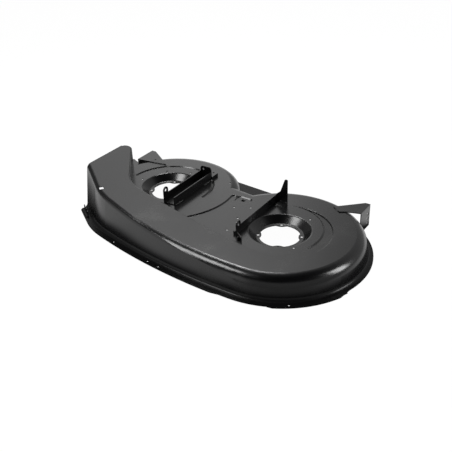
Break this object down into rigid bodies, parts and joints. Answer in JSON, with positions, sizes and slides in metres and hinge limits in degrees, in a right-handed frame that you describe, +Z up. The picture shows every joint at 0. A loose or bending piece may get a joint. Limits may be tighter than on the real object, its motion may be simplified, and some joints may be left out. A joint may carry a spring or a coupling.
{
  "type": "lawn mower deck",
  "caption": "Pressed steel mower cutting deck with overlapping blade chambers, recessed spindle seats, a rising side-discharge tunnel, a rim flange and welded hanger and gauge wheel brackets",
  "frame": {"origin": "centre of the whole deck in plan, on the plane of the bottom edge of its rim", "axes": "+X towards the mower's left, -Y towards the front of the mower, +Z up"},
  "size_m": [1.005, 0.6288, 0.16],
  "materials": {
    "shell_paint": "gloss black powder coat on pressed steel sheet",
    "bracket_paint": "gloss black powder coat on folded steel plate"
  },
  "bodies": {
    "root": {"deck_shell": "shell_paint", "hanger_bracket_left": "bracket_paint", "hanger_cross_plate_left": "bracket_paint", "hanger_bracket_right": "bracket_paint", "hanger_end_plate_right": "bracket_paint", "gauge_bracket_left": "bracket_paint", "gauge_bracket_right": "bracket_paint", "outlet_lug_bracket": "bracket_paint"}
  },
  "joints": []
}
